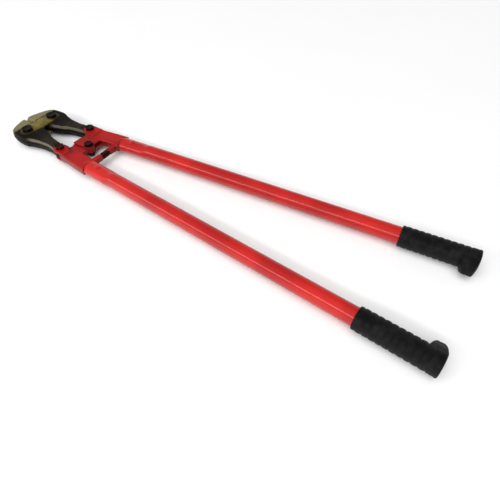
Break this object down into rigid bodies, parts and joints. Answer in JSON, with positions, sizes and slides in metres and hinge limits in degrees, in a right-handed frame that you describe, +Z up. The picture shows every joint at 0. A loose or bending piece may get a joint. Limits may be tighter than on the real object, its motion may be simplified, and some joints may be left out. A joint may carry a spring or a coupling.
{
  "type": "bolt cutters",
  "caption": "Long-handled bolt cutters with bolted centre-cut jaws, link plates, red tubular handles and black rubber grips.",
  "frame": {"origin": "on the axis of the centre pivot, at the surface the tool lies on", "axes": "+X from the centre pivot towards the grips, so the jaws point along -X; +Z up, along every pivot; +Y towards the right handle as seen from the grips looking at the jaws"},
  "size_m": [1.0723, 0.2644, 0.0416],
  "materials": {
    "red_paint": "gloss red enamel",
    "jaw_steel": "oil-blackened drop-forged alloy steel, ground along the blades",
    "link_steel": "olive bronze passivated plate steel",
    "black_steel": "black oxide",
    "bright_steel": "zinc plated",
    "grip_rubber": "matt moulded rubber with ring ribs"
  },
  "bodies": {
    "links": {"top_link_plate": "link_steel", "bottom_link_plate": "link_steel", "right_jaw_bolt": "black_steel", "right_jaw_nut": "black_steel", "left_jaw_bolt": "black_steel", "left_jaw_nut": "black_steel"},
    "right_jaw": {"right_jaw": "jaw_steel"},
    "left_jaw": {"left_jaw": "jaw_steel"},
    "right_handle": {"right_yoke": "red_paint", "right_tail_bolt": "black_steel", "right_tail_nut": "black_steel", "right_stop_screw": "black_steel", "right_stop_nut": "black_steel", "right_tube": "red_paint", "right_rivet": "bright_steel", "right_grip": "grip_rubber"},
    "left_handle": {"left_yoke": "red_paint", "left_tail_bolt": "black_steel", "left_tail_nut": "black_steel", "left_stop_screw": "black_steel", "left_stop_nut": "black_steel", "left_tube": "red_paint", "left_rivet": "bright_steel", "left_grip": "grip_rubber", "centre_bolt": "black_steel", "centre_nut": "black_steel", "centre_top_washer": "black_steel", "centre_bottom_washer": "black_steel"}
  },
  "joints": [
    {"name": "right_jaw_pivot", "type": "hinge", "parent": "links", "child": "right_jaw", "pos_m": [-0.171, 0.0355, 0.0208], "axis": [0, 0, 1], "range_deg": [-11.84, 0]},
    {"name": "left_jaw_pivot", "type": "hinge", "parent": "links", "child": "left_jaw", "pos_m": [-0.171, -0.0355, 0.0208], "axis": [0, 0, 1], "range_deg": [0, 11.84]},
    {"name": "right_handle_open", "type": "hinge", "parent": "right_jaw", "child": "right_handle", "pos_m": [-0.0435, 0.045, 0.0208], "axis": [0, 0, 1], "range_deg": [0, 41]},
    {"name": "left_handle_open", "type": "hinge", "parent": "left_jaw", "child": "left_handle", "pos_m": [-0.0435, -0.045, 0.0208], "axis": [0, 0, 1], "range_deg": [-41.05, 0]}
  ],
  "couplings": [
    {"joint": "left_handle_open", "follows": "right_handle_open", "ratio": -1},
    {"joint": "right_jaw_pivot", "follows": "right_handle_open", "ratio": -0.2875},
    {"joint": "left_jaw_pivot", "follows": "right_handle_open", "ratio": 0.2875}
  ]
}
